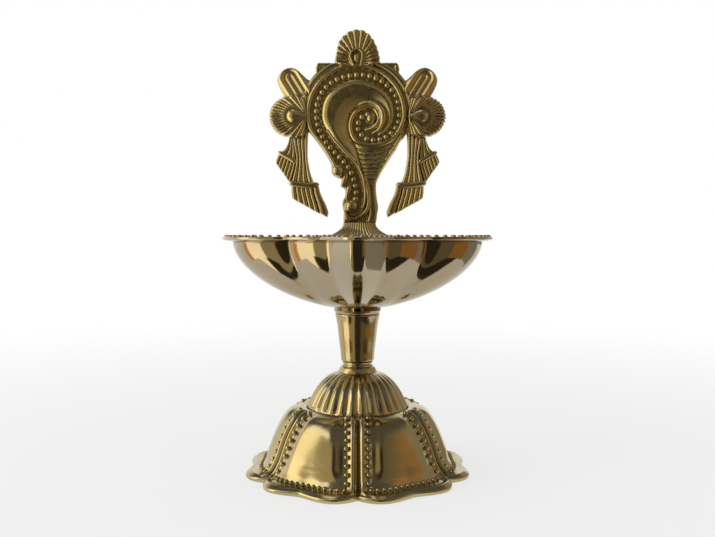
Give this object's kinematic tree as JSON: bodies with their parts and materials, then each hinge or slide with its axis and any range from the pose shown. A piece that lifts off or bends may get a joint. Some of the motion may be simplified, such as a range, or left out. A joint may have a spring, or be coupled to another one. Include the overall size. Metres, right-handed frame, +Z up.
{
  "type": "footed oil lamp",
  "caption": "Footed brass oil lamp: petalled foot, turned stem, lobed oil bowl with a wick beak, and an upright shell relief plaque at the back.",
  "frame": {"origin": "on the floor, on the axis of the stem, which is the middle of the lamp's footprint", "axes": "+Z up along the stem, -Y to the front where the wick beak points, +Y to the back where the plaque stands, +X to the right seen from the front"},
  "size_m": [0.1092, 0.0947, 0.1879],
  "materials": {
    "bowl_brass": "mirror polished pale brass",
    "foot_brass": "polished golden brass",
    "plaque_brass": "cast relief, polished high spots, darker antique ground",
    "fastener_brass": "plain turned brass"
  },
  "bodies": {
    "root": {"foot_skirt": "foot_brass", "foot_dome": "foot_brass", "stem": "foot_brass", "bowl_boss": "bowl_brass", "bowl": "bowl_brass", "tie_rod": "fastener_brass", "rod_washer": "fastener_brass", "rod_nut": "fastener_brass", "plaque_foot": "plaque_brass", "plaque_screw_left": "fastener_brass", "plaque_screw_right": "fastener_brass", "plaque": "plaque_brass"}
  },
  "joints": []
}
